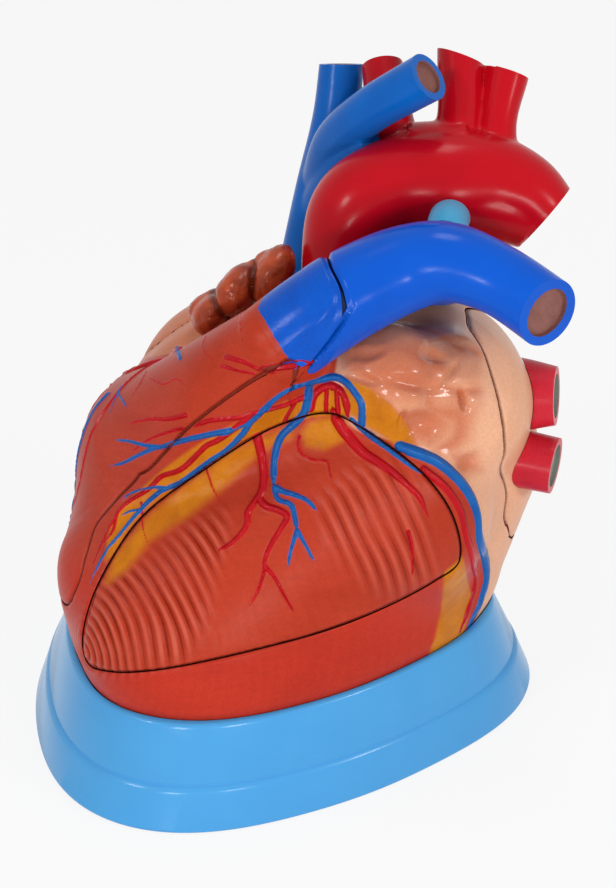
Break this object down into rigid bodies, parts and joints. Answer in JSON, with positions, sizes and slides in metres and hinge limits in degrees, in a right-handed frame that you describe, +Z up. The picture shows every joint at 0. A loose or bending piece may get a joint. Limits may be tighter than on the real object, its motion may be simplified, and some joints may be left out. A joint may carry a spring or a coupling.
{
  "type": "human heart anatomy model",
  "caption": "Enlarged demonstration heart in a stepped blue cradle. Magnet-held walls lift off the ventricles and atria to show chambers, valves and papillary muscles.",
  "frame": {"origin": "middle of the flat underside of the stand", "axes": "+Z up; +Y away from the viewer of the front; +X to the viewer's right, towards the left atrium"},
  "size_m": [0.2455, 0.2379, 0.3003],
  "materials": {
    "stand": "glossy light blue",
    "muscle": "glossy painted muscle red",
    "atrium": "glossy painted tan",
    "auricle": "glossy painted brown orange",
    "artery": "glossy painted red",
    "trunk": "glossy painted blue",
    "vein": "glossy painted vein blue",
    "ligament": "glossy painted pale blue",
    "leaflet": "satin painted cream",
    "magnet": "nickel plated"
  },
  "bodies": {
    "stand": {"stand_base": "stand"},
    "heart": {"heart_body": "muscle", "right_auricle": "auricle", "aorta": "artery", "pulmonary_trunk": "trunk", "superior_vena_cava": "vein", "inferior_vena_cava": "vein", "ligamentum_arteriosum": "ligament", "right_superior_pulmonary_vein": "artery", "right_inferior_pulmonary_vein": "artery", "mitral_valve": "leaflet", "tricuspid_valve": "leaflet", "aortic_valve": "leaflet", "pulmonary_valve": "leaflet", "left_front_papillary_muscle": "muscle", "left_back_papillary_muscle": "muscle", "right_front_papillary_muscle": "muscle", "right_septal_papillary_muscle": "muscle", "right_back_papillary_muscle": "muscle", "left_ventricle_seat_magnet_1": "magnet", "left_ventricle_seat_magnet_2": "magnet", "left_ventricle_seat_magnet_3": "magnet", "left_ventricle_seat_magnet_4": "magnet", "right_ventricle_seat_magnet_1": "magnet", "right_ventricle_seat_magnet_2": "magnet", "right_ventricle_seat_magnet_3": "magnet", "left_atrium_seat_magnet_1": "magnet", "left_atrium_seat_magnet_2": "magnet", "right_atrium_seat_magnet_1": "magnet", "right_atrium_seat_magnet_2": "magnet"},
    "left_ventricle": {"left_ventricle_wall": "muscle", "left_ventricle_wall_magnet_1": "magnet", "left_ventricle_wall_magnet_2": "magnet", "left_ventricle_wall_magnet_3": "magnet", "left_ventricle_wall_magnet_4": "magnet"},
    "right_ventricle": {"right_ventricle_wall": "muscle", "right_ventricle_wall_magnet_1": "magnet", "right_ventricle_wall_magnet_2": "magnet", "right_ventricle_wall_magnet_3": "magnet"},
    "left_atrium": {"left_atrium_wall": "atrium", "left_superior_pulmonary_vein": "artery", "left_inferior_pulmonary_vein": "artery", "left_atrium_wall_magnet_1": "magnet", "left_atrium_wall_magnet_2": "magnet"},
    "right_atrium": {"right_atrium_wall": "atrium", "right_atrium_wall_magnet_1": "magnet", "right_atrium_wall_magnet_2": "magnet"}
  },
  "joints": [
    {"name": "heart_lift", "type": "slide", "parent": "stand", "child": "heart", "axis": [0, 0, 1], "range_m": [0, 0.12]},
    {"name": "left_ventricle_wall_pull", "type": "slide", "parent": "heart", "child": "left_ventricle", "axis": [0, -0.8211, 0.5708], "range_m": [0, 0.08]},
    {"name": "right_ventricle_wall_pull", "type": "slide", "parent": "heart", "child": "right_ventricle", "axis": [-0.798, -0.2494, 0.5486], "range_m": [0, 0.08]},
    {"name": "left_atrium_wall_pull", "type": "slide", "parent": "heart", "child": "left_atrium", "axis": [0.9312, -0.1001, 0.3505], "range_m": [0, 0.08]},
    {"name": "right_atrium_wall_pull", "type": "slide", "parent": "heart", "child": "right_atrium", "axis": [-0.4494, 0.799, 0.3995], "range_m": [0, 0.08]}
  ]
}
